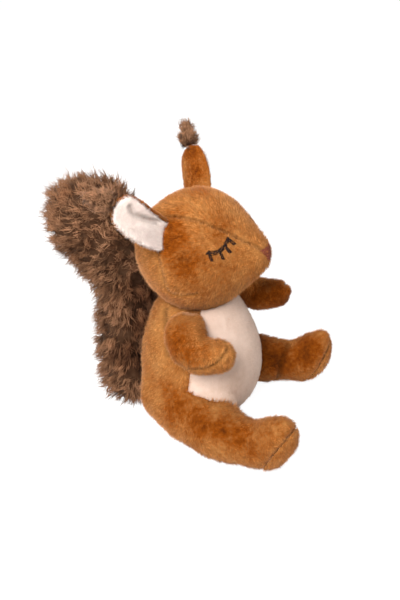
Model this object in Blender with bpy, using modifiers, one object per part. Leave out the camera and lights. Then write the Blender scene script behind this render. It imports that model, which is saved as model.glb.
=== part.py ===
"""A sitting plush squirrel: stuffed fabric pieces sewn together, about 19 cm high to the tips of its ear tufts.

The frame: +Z up, the squirrel faces -Y, its right side is -X, and the origin is on the floor under the
middle of its body. Every piece is one closed solid, a fabric skin with the filling in it, and neighbours
keep SEAM_GAP between them. Lengths are in metres, angles in degrees.
"""

import math

import bmesh
import bpy
from mathutils import Matrix, Vector

MM = 0.001
SEAM_GAP = 0.3 * MM
TO_LEFT = Matrix.Scale(-1, 4, Vector((1, 0, 0)))

# Body: a pear on a flat seat, one skin with the legs, since no seam parts them
BODY_WIDTH = 80 * MM
BODY_DEPTH = 82 * MM
BODY_HEIGHT = 106 * MM
BODY_TAPER = 0.26
BACK_TAPER = 0.1
BODY_SINK = 3 * MM
SKIN_GRID = 7.4 * MM
SKIN_SMOOTHING = 4

# Legs: half sizes of the right one, which lies on the floor and points a little outwards
HAUNCH_CENTRE = Vector((-25, 9.5, 20)) * MM
HAUNCH_SIZE = Vector((20, 26, 22.5)) * MM
KNEE = Vector((-40.5, -14, 17.5)) * MM
ANKLE = Vector((-47.5, -50, 14.5)) * MM
KNEE_RADIUS = 18.5 * MM
ANKLE_RADIUS = 15 * MM
LEFT_LEG_SPREAD = 6

# Foot: an upright oval whose front is closed by the sole
FOOT_CENTRE = Vector((-48.5, -66.5, 22)) * MM
FOOT_SIZE = Vector((16, 15, 25)) * MM
FOOT_LEAN = 26
FOOT_SPLAY = 12
SOLE_INSET = 5.5 * MM

# Belly panel: an oval front let into the body, up to the legs. Each row is a height and the half width there
BELLY_OUTLINE = [
    (5 * MM, 0), (9 * MM, 19 * MM), (20 * MM, 33 * MM), (34 * MM, 41 * MM), (44 * MM, 44 * MM),
    (60 * MM, 42 * MM), (76 * MM, 36 * MM), (90 * MM, 26 * MM), (97 * MM, 14 * MM), (99 * MM, 0),
]
BELLY_SIDE_SEAM = -7 * MM
BELLY_EDGE_RISE = 6.5 * MM
PANEL_THICKNESS = 2.5 * MM
RECESS_CLEARANCE = 0.9 * MM

# Head: a ball that runs out into a short pointed snout
HEAD_LENGTH = 89 * MM
HEAD_WIDTH = 78 * MM
HEAD_HEIGHT = 77 * MM
HEAD_CENTRE = Vector((0, -1, 120)) * MM
HEAD_TURN = -3
HEAD_NOD = -5
HEAD_TILT = -1.7
HEAD_PROFILE = [
    (0, 0), (0.04, 0.36), (0.12, 0.62), (0.25, 0.86), (0.42, 1), (0.57, 0.97),
    (0.7, 0.81), (0.82, 0.56), (0.92, 0.34), (0.97, 0.22), (0.99, 0.13), (1, 0),
]

# Places on the head are pairs: degrees round it from its left side, and share of the way from back to nose
GUSSET_ANGLE = 37
GUSSET_START = 0.3
GUSSET_END = 0.9
SEAM_RADIUS = 0.6 * MM

# Closed eye of the right side: a lid line with four lashes, in thread laid on the head
LID = [(157, 0.627), (157, 0.65), (154.5, 0.671), (147, 0.688), (135, 0.699)]
LASHES = [
    [(158, 0.636), (166, 0.647)],
    [(155, 0.675), (164, 0.688)],
    [(147.5, 0.694), (154.5, 0.716)],
    [(136, 0.702), (140.5, 0.729)],
]
LID_RADIUS = 1.2 * MM
LASH_RADIUS = 0.9 * MM

# Nose: a triangle of thread round the tip of the snout, as half width, top and bottom on the snout's axis
NOSE_HALF_WIDTH = 7 * MM
NOSE_TOP = 6 * MM
NOSE_BOTTOM = -2.5 * MM
NOSE_POINT = 1.3 * MM
NOSE_DEPTH = 9 * MM
NOSE_RISE = 0.9 * MM

# Ears: leaves on the sides of the crown, given for the right side. Each leaf's front edge is folded over,
# most at the base. The width lies along a side vector that turns a little from base to tip
EAR_BASE = Vector((-23.1, 10.7, 134.6)) * MM
EAR_TIP = Vector((-53, 30.7, 167.7)) * MM
EAR_TILT = -3.4
EAR_HALF_WIDTH = 13 * MM
EAR_THICKNESS = 2.6 * MM
EAR_CUP = 2.5 * MM
LINING_HALF_WIDTH = 12.2 * MM
LINING_THICKNESS = 1.2 * MM
LINING_START = 0.04
LINING_END = 0.985
RIGHT_EAR_SIDES = (Vector((0.76, 0.06, 0.65)), Vector((0.665, -0.367, 0.649)))
LEFT_EAR_SIDES = (Vector((0.14, -0.78, 0.6)), Vector((0.14, -0.78, 0.6)))
RIGHT_FOLDING = 1
LEFT_FOLDING = 0.35

# Each row is a share of a leaf's length, with the shares of its half width and of its thickness there
LEAF_OUTLINE = [
    (0, 0, 0), (0.05, 0.62, 1), (0.3, 0.98, 1), (0.62, 1, 1), (0.85, 0.84, 1), (0.96, 0.52, 0.8), (1, 0, 0),
]

# Each row is a share of the ear's length, how far across the fold starts, and how many degrees the edge turns
EAR_FOLD = [
    (0, 4 * MM, 125), (0.4, 3.5 * MM, 115), (0.65, 0, 85), (0.85, -1 * MM, 35), (1, -1 * MM, 10),
]
RIGHT_TUFT_DIRECTION = Vector((-0.5, 0.75, 0.42))
LEFT_TUFT_DIRECTION = Vector((0.35, 0.2, 0.91))
TUFT_LENGTH = 19 * MM
TUFT_WIDTH = 13 * MM
TUFT_ROOT = 0.1

# Arms: thick at the shoulder and bent forwards at the elbow. Each row is one place on the right arm:
# share of its length, centre, half width, half height
ARM = [
    (0, Vector((-20, -3, 93)) * MM, 0, 0),
    (0.1, Vector((-26, -3, 89)) * MM, 9 * MM, 8.5 * MM),
    (0.35, Vector((-36, -3.5, 80)) * MM, 11 * MM, 13 * MM),
    (0.6, Vector((-40.5, -10, 68.5)) * MM, 11 * MM, 12.5 * MM),
    (0.8, Vector((-42, -24, 70)) * MM, 10 * MM, 10.5 * MM),
    (0.93, Vector((-42, -33, 73.5)) * MM, 8 * MM, 9 * MM),
    (1, Vector((-42, -39, 75.5)) * MM, 0, 0),
]
LEFT_ARM_REACH = Vector((3, -9.5, 4)) * MM

# Tail: each row is one place on it, from the seat to the tip that curls back
TAIL = [
    (0, Vector((0, 45, -1)) * MM, 0, 0),
    (0.05, Vector((0, 45.5, 4)) * MM, 22.5 * MM, 20.5 * MM),
    (0.18, Vector((0, 50.5, 24)) * MM, 25.5 * MM, 27 * MM),
    (0.42, Vector((0, 54, 60)) * MM, 23 * MM, 21.5 * MM),
    (0.62, Vector((0, 56, 92)) * MM, 24 * MM, 20.5 * MM),
    (0.8, Vector((0, 71, 121)) * MM, 28 * MM, 26.5 * MM),
    (0.93, Vector((0, 87, 137)) * MM, 25.5 * MM, 24.5 * MM),
    (1, Vector((0, 104, 149)) * MM, 0, 0),
]
LOCK_DEPTH = 0.09
LOCKS_AROUND = 8
LOCKS_ALONG = 9


def clear_scene():
    for obj in list(bpy.data.objects):
        bpy.data.objects.remove(obj)


def material(name, colour, roughness):
    made = bpy.data.materials.new(name)
    made.use_nodes = True
    shader = made.node_tree.nodes["Principled BSDF"]
    shader.inputs["Base Color"].default_value = (*colour, 1)
    shader.inputs["Roughness"].default_value = roughness
    return made


def smooth_value(rows, column, place):
    """The value in this column of the rows at a place along them, on a smooth curve through the rows."""
    if place <= rows[0][0]:
        return rows[0][column]
    if place >= rows[-1][0]:
        return rows[-1][column]
    i = next(k for k in range(len(rows) - 1) if place <= rows[k + 1][0])
    start, end = rows[i], rows[i + 1]
    before, after = rows[max(i - 1, 0)], rows[min(i + 2, len(rows) - 1)]
    span = end[0] - start[0]
    slope_in = (end[column] - before[column]) * (span / (end[0] - before[0]))
    slope_out = (after[column] - start[column]) * (span / (after[0] - start[0]))
    s = (place - start[0]) / span
    return (
        start[column] * (2 * s**3 - 3 * s**2 + 1)
        + slope_in * (s**3 - 2 * s**2 + s)
        + end[column] * (3 * s**2 - 2 * s**3)
        + slope_out * (s**3 - s**2)
    )


def object_from(bm, name):
    """Triangles only, so that a face and its grown copy bend along the same line."""
    bmesh.ops.triangulate(bm, faces=bm.faces, quad_method="FIXED")
    bm.normal_update()
    bmesh.ops.recalc_face_normals(bm, faces=bm.faces)
    mesh = bpy.data.meshes.new(name)
    bm.to_mesh(mesh)
    bm.free()
    obj = bpy.data.objects.new(name, mesh)
    squirrel.objects.link(obj)
    return obj


def shaped_ball(name, shape, around, along):
    """A sphere primitive whose points are moved to shape(angle, share). Share runs from 0 at one pole to 1 at
    the other, and the angle goes round."""
    bm = bmesh.new()
    bmesh.ops.create_uvsphere(bm, u_segments=around, v_segments=along, radius=1)
    for v in bm.verts:
        share = math.acos(max(-1, min(1, v.co.z))) / math.pi
        v.co = shape(math.atan2(v.co.y, v.co.x), share)
    return object_from(bm, name)


def ball(name, centre, size, around=20, along=14):
    def shape(angle, share):
        out = math.sin(math.pi * share)
        return centre + Vector((
            out * math.cos(angle) * size.x,
            out * math.sin(angle) * size.y,
            math.cos(math.pi * share) * size.z,
        ))

    return shaped_ball(name, shape, around, along)


def limb(name, rows, side, around, along, lock_depth=0.0):
    """A tube with round ends through the rows. The side vector is the direction of each section's width."""

    def shape(angle, share):
        place = 0.5 - 0.5 * math.cos(math.pi * share)
        step = 0.02
        ahead = smooth_value(rows, 1, min(1, place + step))
        behind = smooth_value(rows, 1, max(0, place - step))
        along_limb = (ahead - behind).normalized()
        across = (side - along_limb * side.dot(along_limb)).normalized()
        up = across.cross(along_limb)
        half_width = smooth_value(rows, 2, place)
        half_height = smooth_value(rows, 3, place)
        swirl = math.sin(LOCKS_AROUND * angle + 2 * math.sin(5 * place))
        locks = 1 + lock_depth * swirl * math.sin(2 * math.pi * LOCKS_ALONG * place)
        return (
            smooth_value(rows, 1, place)
            + across * (half_width * locks * math.cos(angle))
            + up * (half_height * locks * math.sin(angle))
        )

    return shaped_ball(name, shape, around, along)


def moved(obj, matrix):
    obj.data.transform(matrix)
    if matrix.is_negative:
        obj.data.flip_normals()
    return obj


def upright(pose):
    """The pose with a mirror in it turned into one without, for a shape that is the same both ways round."""
    return pose @ TO_LEFT if pose.is_negative else pose


def mirrored(obj, name):
    """A copy on the left side of a piece of the right side."""
    copy = bpy.data.objects.new(name, obj.data.copy())
    squirrel.objects.link(copy)
    return moved(copy, TO_LEFT)


def baked(obj):
    """Makes the result of the object's modifiers its own mesh."""
    bpy.context.view_layer.update()
    graph = bpy.context.evaluated_depsgraph_get()
    mesh = bpy.data.meshes.new_from_object(obj.evaluated_get(graph))
    obj.modifiers.clear()
    obj.data = mesh
    return obj


def combine(obj, tool, operation, folded=False):
    """Joins or cuts the object with the tool. Folded says that one of the two meshes runs through itself."""
    modifier = obj.modifiers.new(operation.lower(), "BOOLEAN")
    modifier.operation = operation
    modifier.solver = "EXACT"
    modifier.use_self = folded
    modifier.object = tool
    return baked(obj)


def as_cutter(obj):
    squirrel.objects.unlink(obj)
    cutters.objects.link(obj)
    obj.hide_render = True
    obj.display_type = "WIRE"
    return obj


def grown(obj, distance):
    """A cutter: a copy of the object with its surface moved outwards by the distance."""
    bm = bmesh.new()
    bm.from_mesh(obj.data)
    bm.normal_update()
    shifts = {v: v.normal * distance for v in bm.verts}
    for v, shift in shifts.items():
        v.co += shift
    return as_cutter(object_from(bm, f"{obj.name}_grown"))


def seat(obj, *neighbours, folded=False):
    """Cuts the object to lie SEAM_GAP off its neighbours."""
    for neighbour in neighbours:
        combine(obj, grown(neighbour, SEAM_GAP), "DIFFERENCE", folded)
    return obj


def block(name, matrix, size=400 * MM):
    """A cutter: a box whose top face lies on the plane z = 0 of the matrix."""
    bm = bmesh.new()
    bmesh.ops.create_cube(bm, size=size)
    bmesh.ops.translate(bm, verts=bm.verts, vec=(0, 0, -size / 2))
    bm.transform(matrix)
    return as_cutter(object_from(bm, name))


def turn(angle, axis):
    return Matrix.Rotation(math.radians(angle), 4, axis)


def finish(obj, fabric):
    obj.data.materials.clear()
    obj.data.materials.append(fabric)
    for face in obj.data.polygons:
        face.use_smooth = True


def body_shape(angle, share):
    up = math.cos(math.pi * share)
    towards_back = max(0, math.sin(angle)) if up > 0 else 0
    taper = BODY_TAPER + (BACK_TAPER - BODY_TAPER) * towards_back
    out = math.sin(math.pi * share) * (1 - up * taper)
    return Vector((
        out * math.cos(angle) * BODY_WIDTH / 2,
        out * math.sin(angle) * BODY_DEPTH / 2,
        (1 + up) * BODY_HEIGHT / 2 - BODY_SINK,
    ))


def head_pose():
    return (
        Matrix.Translation(HEAD_CENTRE)
        @ turn(HEAD_TURN, "Z")
        @ turn(HEAD_TILT, "Y")
        @ turn(HEAD_NOD, "X")
    )


def head_shape(angle, share):
    place = 0.5 - 0.5 * math.cos(math.pi * share)
    out = smooth_value(HEAD_PROFILE, 1, place)
    return head_pose() @ Vector((
        out * math.cos(angle) * HEAD_WIDTH / 2,
        HEAD_LENGTH * (0.5 - place),
        out * math.sin(angle) * HEAD_HEIGHT / 2,
    ))


def on_head(degrees, share):
    return head_shape(math.radians(degrees), share)


def thread(name, places, radius, around, along):
    """A round cord with blunt ends, laid through places on the head."""
    points = [on_head(*place) for place in places]
    last = len(points) - 1
    rows = [(0.06 + 0.88 * i / last, point, radius, radius) for i, point in enumerate(points)]
    rows.insert(0, (0, points[0] + (points[0] - points[1]).normalized() * radius, 0, 0))
    rows.append((1, points[-1] + (points[-1] - points[-2]).normalized() * radius, 0, 0))
    return limb(name, rows, Vector((0, 0, 1)), around, along)


def prism(name, outline, depth, matrix):
    """A solid whose face is the outline in the XZ plane of the matrix, running by the depth towards -Y."""
    bm = bmesh.new()
    face = bm.faces.new([bm.verts.new((x, 0, z)) for x, z in outline])
    front = bmesh.ops.extrude_face_region(bm, geom=[face])["geom"]
    bmesh.ops.translate(
        bm, verts=[v for v in front if isinstance(v, bmesh.types.BMVert)], vec=(0, -depth, 0)
    )
    bm.transform(matrix)
    return object_from(bm, name)


def belly_front(margin):
    """The solid in front of the side seams, inside the panel's outline grown by the margin."""
    low, high = BELLY_OUTLINE[0][0], BELLY_OUTLINE[-1][0]
    heights = [low + (high - low) * (0.5 - 0.5 * math.cos(math.pi * i / 12)) for i in range(1, 12)]
    right = [(-smooth_value(BELLY_OUTLINE, 1, z) - margin, z) for z in heights]
    left = [(-x, z) for x, z in reversed(right)]
    outline = [(0, low - margin), *right, (0, high + margin), *left]
    front = prism(
        "belly_front", outline, BODY_DEPTH, Matrix.Translation((0, BELLY_SIDE_SEAM + margin, 0))
    )
    return combine(front, grown(body_form, BELLY_EDGE_RISE + margin), "INTERSECT")


def copy_of(obj, name):
    copy = bpy.data.objects.new(name, obj.data.copy())
    squirrel.objects.link(copy)
    return copy


def leaf(name, sides, folding, start, end, half_width, thickness, lift):
    """A leaf between two shares of the ear's length, lifted off the middle of the ear's own thickness."""

    def shape(angle, share):
        place = 0.5 - 0.5 * math.cos(math.pi * share)
        on_ear = start + place * (end - start)
        ear_line = EAR_TIP - EAR_BASE
        side = sides[0].lerp(sides[1], on_ear)
        side = (side - ear_line * side.dot(ear_line) / ear_line.length_squared).normalized()
        opening = side.cross(ear_line).normalized()
        across = half_width * smooth_value(LEAF_OUTLINE, 1, place) * math.cos(angle)
        height = lift + thickness / 2 * smooth_value(LEAF_OUTLINE, 2, place) * math.sin(angle)
        height += EAR_CUP * (min(0, across) / EAR_HALF_WIDTH) ** 2
        fold_start = smooth_value(EAR_FOLD, 1, on_ear)
        turning = math.radians(smooth_value(EAR_FOLD, 2, on_ear) * folding)
        if across > fold_start:
            radius = (EAR_HALF_WIDTH - fold_start) / turning
            turned = (across - fold_start) / radius
            across = fold_start + (radius - height) * math.sin(turned)
            height = radius - (radius - height) * math.cos(turned)
        return EAR_BASE + ear_line * on_ear + side * across + opening * height

    return shaped_ball(name, shape, 18, 11)


clear_scene()
squirrel = bpy.data.collections.new("squirrel")
cutters = bpy.data.collections.new("cutters")
bpy.context.scene.collection.children.link(squirrel)
bpy.context.scene.collection.children.link(cutters)

brown = material("brown_plush", (0.45, 0.17, 0.04), 0.9)
cream = material("cream_plush", (0.8, 0.62, 0.53), 0.9)
pink = material("pale_pink_plush", (0.95, 0.8, 0.75), 0.9)
grey_brown = material("grey_brown_fur", (0.18, 0.11, 0.06), 0.95)
eye_thread = material("dark_brown_thread", (0.04, 0.015, 0.01), 0.6)
nose_thread = material("red_brown_thread", (0.16, 0.035, 0.02), 0.6)

# Body with its legs
body = shaped_ball("body_with_legs", body_shape, 32, 20)
body_form = as_cutter(copy_of(body, "body_form"))
foot_pose = Matrix.Translation(FOOT_CENTRE) @ turn(-FOOT_SPLAY, "Z") @ turn(FOOT_LEAN, "X")
shin_rows = [
    (0, HAUNCH_CENTRE, 0, 0),
    (0.1, HAUNCH_CENTRE, KNEE_RADIUS, KNEE_RADIUS),
    (0.5, KNEE, KNEE_RADIUS, KNEE_RADIUS),
    (0.9, ANKLE, ANKLE_RADIUS, ANKLE_RADIUS),
    (1, ANKLE + Vector((0, -ANKLE_RADIUS, 0)), 0, 0),
]
about_hip = Matrix.Translation(HAUNCH_CENTRE)
leg_poses = {
    "right": Matrix.Identity(4),
    "left": TO_LEFT @ about_hip @ turn(-LEFT_LEG_SPREAD, "Z") @ about_hip.inverted(),
}
for pose in leg_poses.values():
    haunch = ball("haunch", HAUNCH_CENTRE, HAUNCH_SIZE)
    shin = limb("shin", shin_rows, Vector((1, 0, 0)), 20, 20)
    foot = moved(ball("foot", Vector((0, 0, 0)), FOOT_SIZE), foot_pose)
    for piece in (haunch, shin, foot):
        combine(body, as_cutter(moved(piece, pose)), "UNION")
skin = body.modifiers.new("skin", "REMESH")
skin.mode = "VOXEL"
skin.voxel_size = SKIN_GRID
smoothing = body.modifiers.new("smoothing", "SMOOTH")
smoothing.factor = 0.5
smoothing.iterations = SKIN_SMOOTHING
body.modifiers.new("triangles", "TRIANGULATE")
baked(body)
combine(body, block("floor", Matrix.Identity(4)), "DIFFERENCE")

# Soles: the front of each foot
whole_skin = copy_of(body, "whole_skin")
for side, pose in leg_poses.items():
    plane = foot_pose @ Matrix.Translation((0, -SOLE_INSET, 0)) @ turn(90, "X")
    sole = copy_of(whole_skin, f"{side}_sole")
    behind = plane @ Matrix.Translation((0, 0, SEAM_GAP))
    combine(sole, block("behind_sole", upright(pose @ behind)), "DIFFERENCE")
    combine(body, block("ahead_of_sole", upright(pose @ plane @ turn(180, "X"))), "DIFFERENCE")

# Head, whose seams are grooves
head = shaped_ball("head", head_shape, 28, 20)

# Belly panel, with a recess for it in the body
belly = copy_of(whole_skin, "belly_panel")
combine(belly, as_cutter(belly_front(0)), "INTERSECT")
combine(belly, grown(whole_skin, -PANEL_THICKNESS), "DIFFERENCE")
recess = belly_front(SEAM_GAP)
combine(recess, grown(whole_skin, -PANEL_THICKNESS - RECESS_CLEARANCE), "DIFFERENCE")
combine(body, as_cutter(recess), "DIFFERENCE")
seat(body, head)
seat(belly, head)
as_cutter(whole_skin)

# Arms
right_arm = limb("right_arm", ARM, Vector((1, 0, 0)), 16, 13)
left_arm = moved(mirrored(right_arm, "left_arm"), Matrix.Translation(LEFT_ARM_REACH))
for arm in (right_arm, left_arm):
    seat(arm, whole_skin, head)

# Tail
tail = limb("tail", TAIL, Vector((1, 0, 0)), 26, 22, lock_depth=LOCK_DEPTH)
combine(tail, block("tail_floor", Matrix.Translation((0, 0, SEAM_GAP))), "DIFFERENCE", folded=True)
seat(tail, whole_skin, head)

# Ears, each with its lining laid in the cup and a tuft at the tip
lining_lift = EAR_THICKNESS / 2 + SEAM_GAP + LINING_THICKNESS / 2
tilt = Matrix.Translation(HEAD_CENTRE) @ turn(EAR_TILT, "Y") @ Matrix.Translation(-HEAD_CENTRE)
for side, sides, folding, tuft_direction in (
    ("right", RIGHT_EAR_SIDES, RIGHT_FOLDING, RIGHT_TUFT_DIRECTION),
    ("left", LEFT_EAR_SIDES, LEFT_FOLDING, LEFT_TUFT_DIRECTION),
):
    ear = leaf(f"{side}_ear", sides, folding, 0, 1, EAR_HALF_WIDTH, EAR_THICKNESS, 0)
    lining = leaf(
        f"{side}_ear_lining", sides, folding, LINING_START, LINING_END, LINING_HALF_WIDTH,
        LINING_THICKNESS, lining_lift,
    )
    tip = EAR_TIP
    if side == "left":
        moved(ear, TO_LEFT)
        moved(lining, TO_LEFT)
        tip = TO_LEFT @ EAR_TIP
    tuft_rows = [
        (
            place,
            tip + tuft_direction * TUFT_LENGTH * (place - TUFT_ROOT),
            share * TUFT_WIDTH,
            share * TUFT_WIDTH,
        )
        for place, share in ((0, 0), (0.1, 0.4), (0.28, 0.5), (0.6, 0.38), (0.9, 0.22), (1, 0))
    ]
    tuft = limb(f"{side}_ear_tuft", tuft_rows, Vector((0, 1, 0)), 12, 9)
    for piece in (ear, lining, tuft):
        moved(piece, tilt)
    seat(ear, head)
    seat(lining, head)
    seat(tuft, ear, lining)

# Eyes
for side in ("right", "left"):
    lines = [(LID, LID_RADIUS, 6, 9)] + [(lash, LASH_RADIUS, 6, 4) for lash in LASHES]
    parts = []
    for places, radius, around, along in lines:
        if side == "left":
            places = [(180 - degrees, share) for degrees, share in places]
        parts.append(thread(f"{side}_eye", places, radius, around, along))
    eye = parts[0]
    for lash in parts[1:]:
        combine(eye, as_cutter(lash), "UNION", folded=True)
    seat(eye, head, folded=True)

# Nose
nose = grown(head, NOSE_RISE)
cutters.objects.unlink(nose)
squirrel.objects.link(nose)
nose.name = "nose"
nose.hide_render = False
nose_outline = [
    (-NOSE_HALF_WIDTH, NOSE_TOP),
    (NOSE_HALF_WIDTH, NOSE_TOP),
    (NOSE_POINT, NOSE_BOTTOM),
    (-NOSE_POINT, NOSE_BOTTOM),
]
nose_place = head_pose() @ Matrix.Translation((0, NOSE_DEPTH - HEAD_LENGTH / 2, 0))
combine(nose, as_cutter(prism("nose_front", nose_outline, HEAD_LENGTH, nose_place)), "INTERSECT")
seat(nose, head)

# Seams of the head
for degrees in (90 - GUSSET_ANGLE, 90 + GUSSET_ANGLE):
    places = [
        (degrees, GUSSET_START + (GUSSET_END - GUSSET_START) * i / 10) for i in range(11)
    ]
    seam = as_cutter(thread("gusset_seam", places, SEAM_RADIUS, 5, 14))
    combine(head, seam, "DIFFERENCE", folded=True)

fabrics = {
    "belly_panel": cream,
    "right_ear_lining": pink,
    "left_ear_lining": pink,
    "right_ear_tuft": grey_brown,
    "left_ear_tuft": grey_brown,
    "tail": grey_brown,
    "right_eye": eye_thread,
    "left_eye": eye_thread,
    "nose": nose_thread,
}
for obj in squirrel.objects:
    finish(obj, fabrics.get(obj.name, brown))
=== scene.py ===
"""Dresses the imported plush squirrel: short brown pile, cream belly, pale ear linings and a shaggy tail.

Lengths are in metres and angles in degrees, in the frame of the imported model: +Z up, the squirrel faces -Y
and its right side is -X. Each piece is a smooth skin made from its CAD node, with strands of pile on it.
"""

import math

import bmesh
import bpy
import numpy as np
from mathutils import Matrix, Vector
from mathutils.bvhtree import BVHTree


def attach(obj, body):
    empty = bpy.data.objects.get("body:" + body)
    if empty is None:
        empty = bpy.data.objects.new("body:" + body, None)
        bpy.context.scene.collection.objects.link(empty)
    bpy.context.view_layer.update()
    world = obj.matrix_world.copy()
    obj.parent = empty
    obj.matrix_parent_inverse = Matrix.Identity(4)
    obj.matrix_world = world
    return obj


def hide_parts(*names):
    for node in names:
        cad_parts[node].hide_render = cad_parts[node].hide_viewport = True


MM = 0.001

# Camera: fitted to the photo, in degrees round the squirrel and above the floor
CAMERA_AZIMUTH = -67.5
CAMERA_ELEVATION = 28
CAMERA_DISTANCE = 450 * MM
CAMERA_TARGET = Vector((0.4, 1.6, 82.9)) * MM
CAMERA_LENS = 40.74
CAMERA_SENSOR = 36

# Head: the same pose and sizes as in the CAD model
HEAD_CENTRE = Vector((0, -1, 120)) * MM
HEAD_LENGTH = 89 * MM
HEAD_WIDTH = 78 * MM
HEAD_HEIGHT = 77 * MM
HEAD_TURN = -3
HEAD_TILT = -1.7
HEAD_NOD = -5

# Places on the head are pairs: degrees round it from its left side, and share of the way from back to nose
GUSSET_ANGLE = 37
GUSSET_START = 0.3
GUSSET_END = 0.9
CHEEK_SEAM = [(157, 0.405), (170, 0.42), (185, 0.437), (200, 0.444), (203, 0.5), (203, 0.57)]
LID = [(157, 0.627), (157, 0.65), (154.5, 0.671), (147, 0.688), (135, 0.699)]
LASHES = [
    [(158, 0.636), (166, 0.647)],
    [(155, 0.675), (164, 0.688)],
    [(147.5, 0.694), (154.5, 0.716)],
    [(136, 0.702), (140.5, 0.729)],
]
NOSE_HALF_WIDTH = 7 * MM
NOSE_TOP = 6 * MM
NOSE_BOTTOM = -2.5 * MM
NOSE_POINT = 1.3 * MM

# Thread of the embroidery: a tube with this many sides and narrower ends, in shades between these two. A
# stitch stands off the skin by some thread radii at its ends and by more in its middle: the pairs of lifts
# say how many, and how many more
THREAD_RADIUS = 0.32 * MM
THREAD_SIDES = 6
THREAD_END = 0.45
THREAD_GRAIN = 900
THREAD_SHADES = (0.7, 1.35)
STITCH_STEP = 0.5 * MM
STITCH_SLANT = 60
EYE_LIFT = (0.2, 1.5)
NOSE_LIFT = (0.3, 1.6)
LID_HALF_WIDTH = 1.5 * MM
LASH_HALF_WIDTH = 1.15 * MM

# Ear tufts: the way each points, as in the CAD model
RIGHT_TUFT_DIRECTION = np.array([-0.5, 0.75, 0.42])
LEFT_TUFT_DIRECTION = np.array([0.35, 0.2, 0.91])

# Seams, as places near the skin in mm: the arm's along its lower edge and over its end. The left arm's seam
# is the right one's in a mirror, moved as that arm is
ARM_SEAM = [
    (-42, 5, 69), (-46, -5, 62.5), (-51, -15, 64), (-51.5, -23, 67), (-51.5, -29.5, 71.5), (-49, -33, 75.5),
    (-43, -34.5, 79),
]
LEFT_ARM_REACH = np.array([3, -9.5, 4]) * MM

# The skins of the tail and the tufts lie this far inside the solids, and the linings' this far outside. At
# the back of the tail's curled top, a place in mm, the skin swells out by this much, this far round
TAIL_SINK = 2 * MM
TUFT_SINK = 1.4 * MM
LINING_RISE = 0.6 * MM
TAIL_CURL = (-12, 100, 136)
CURL_SWELL = 4.5 * MM
CURL_REACH = 20 * MM

# The body's skin waves softly, as filling makes it do
BODY_WAVES = 0.25 * MM
BODY_WAVE_SIZE = 18 * MM

# Above this height the arms are drawn down by this share, and in by this much at the shoulder's top
SHOULDER_LOW = 80 * MM
SHOULDER_DROP = 0.3
SHOULDER_SINK = 2.5 * MM

# Creases, as places near the skin in mm: at the left ankle, behind the right shoulder, and where the right
# ear's lining folds
# The pile in these creases is darkened as painted shade, as in the seams
ANKLE_CREASE = [(38.5, -45, 4), (39, -46, 21), (44, -47, 28), (51, -47.5, 31)]
SHOULDER_CREASE = [(-21, 17, 83), (-27, 14.5, 76), (-32, 11, 68), (-36, 9, 60)]
LINING_CREASE = [
    (-49.5, 23, 162), (-47.5, 22, 157.5), (-42.6, 19.5, 153.7), (-37.7, 17, 151), (-33, 14, 149),
]

# Where the pile looks deeper: places near the skin, how far round each mark goes, in mm, and how strong it
# is.
# Some marks are pile brushed against its nap, others painted shade, as noted at each list
# The marks low on the side of the head, 99 and 111 mm up, are painted shade under the cheek; the others are
# brushed pile
BRUSHED_AND_SHADED_HEAD = [
    ((-27, 8, 147), 10, 0.5), ((-34, 5, 138), 12, 0.55), ((-36, -4, 130), 12, 0.45),
    ((-32, -15, 128), 9, 0.2), ((-2, 3, 158), 9, 0.25), ((-20, -20, 144), 12, 0.15),
    ((-33, -10, 111), 14, 0.17), ((-33, 1, 99), 12, 0.2),
]
BRUSHED_ARM = [
    ((-46, -3, 75), 12, 0.4), ((-50, -13, 73), 9, 0.4), ((-43, -4, 88), 8, 0.4), ((-49, -21, 77), 6, 0.35),
]
# Those on the near leg are brushed pile; the three on the far leg, at positive x, are painted shade from the
# body
BRUSHED_AND_SHADED_BODY = [
    ((-43, 5, 38), 8, 0.35), ((-51, -2, 30), 11, 0.42), ((-55, -21, 29), 12, 0.45),
    ((-56, -37, 28), 11, 0.45), ((-58, -47, 26), 10, 0.45), ((-60, -57, 24), 9, 0.35),
    ((-57, -64, 36), 9, 0.3), ((34, -20, 32), 20, 1), ((40, -44, 23), 14, 0.9), ((46, -62, 32), 14, 0.65),
]
BRUSHED_EAR = [((-44, 25, 167), 10, 0.55), ((-38, 21, 158), 11, 0.5), ((-35, 22, 148), 10, 0.4)]
# Painted shade in and beside the lining's fold
PAINTED_SHADE_LINING = [((-45, 19, 162), 6, 0.4), ((-41, 16, 157), 6, 0.3)]
# Painted shade on the belly panel's lower part, beside the near thigh
PAINTED_SHADE_BELLY = [((-26, -34, 36), 13, 0.6), ((-38, -26, 36), 8, 0.4)]
# The far arm's marks are painted shade from the head and body, over its deeper nap
BRUSHED_AND_SHADED_LEFT_ARM = [((31, -20, 80), 11, 0.3), ((34, -28, 76), 12, 0.42), ((38, -43, 74), 16, 0.58)]
# The first mark deepens the whole tail's tone; the others are painted shade where the tail lies close to the
# body
TAIL_TONE_AND_SHADE = [
    ((-15, 60, 80), 200, 0.2), ((-13, 39, 89), 16, 0.55), ((-20, 36, 65), 18, 0.65),
    ((-20, 39, 42), 20, 0.65),
]

# How pale the pile is, 0 to 1, how far that drifts over wide and fine patches, and how much paler it is
# beside a seam, out to this many widths of the seam
PALLOR = 0.76
WIDE_DRIFT = 0.1
WIDE_PATCH = 22 * MM
FINE_DRIFT = 0.07
FINE_PATCH = 6 * MM
SEAM_PALLOR = 0.2
SEAM_PALLOR_REACH = 3.5

# Pile grows from this far off the belly panel, and leans over the panel's edge out to this much further.
# None grows on the body's underside, up to this height
INLAY_BORDER = 0.8 * MM
FRINGE_WIDTH = 2.5 * MM
UNDERSIDE = 0.8 * MM

# All strands have three sides, end in a tip and stay off the floor. Short ones have one ring of points
# before the tip. Long ones have a ring for each share of their radius given here
FLOOR_CLEARANCE = 0.3 * MM
SHORT_RINGS = 1
LONG_PROFILE = np.array([1.0, 0.85])

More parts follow.
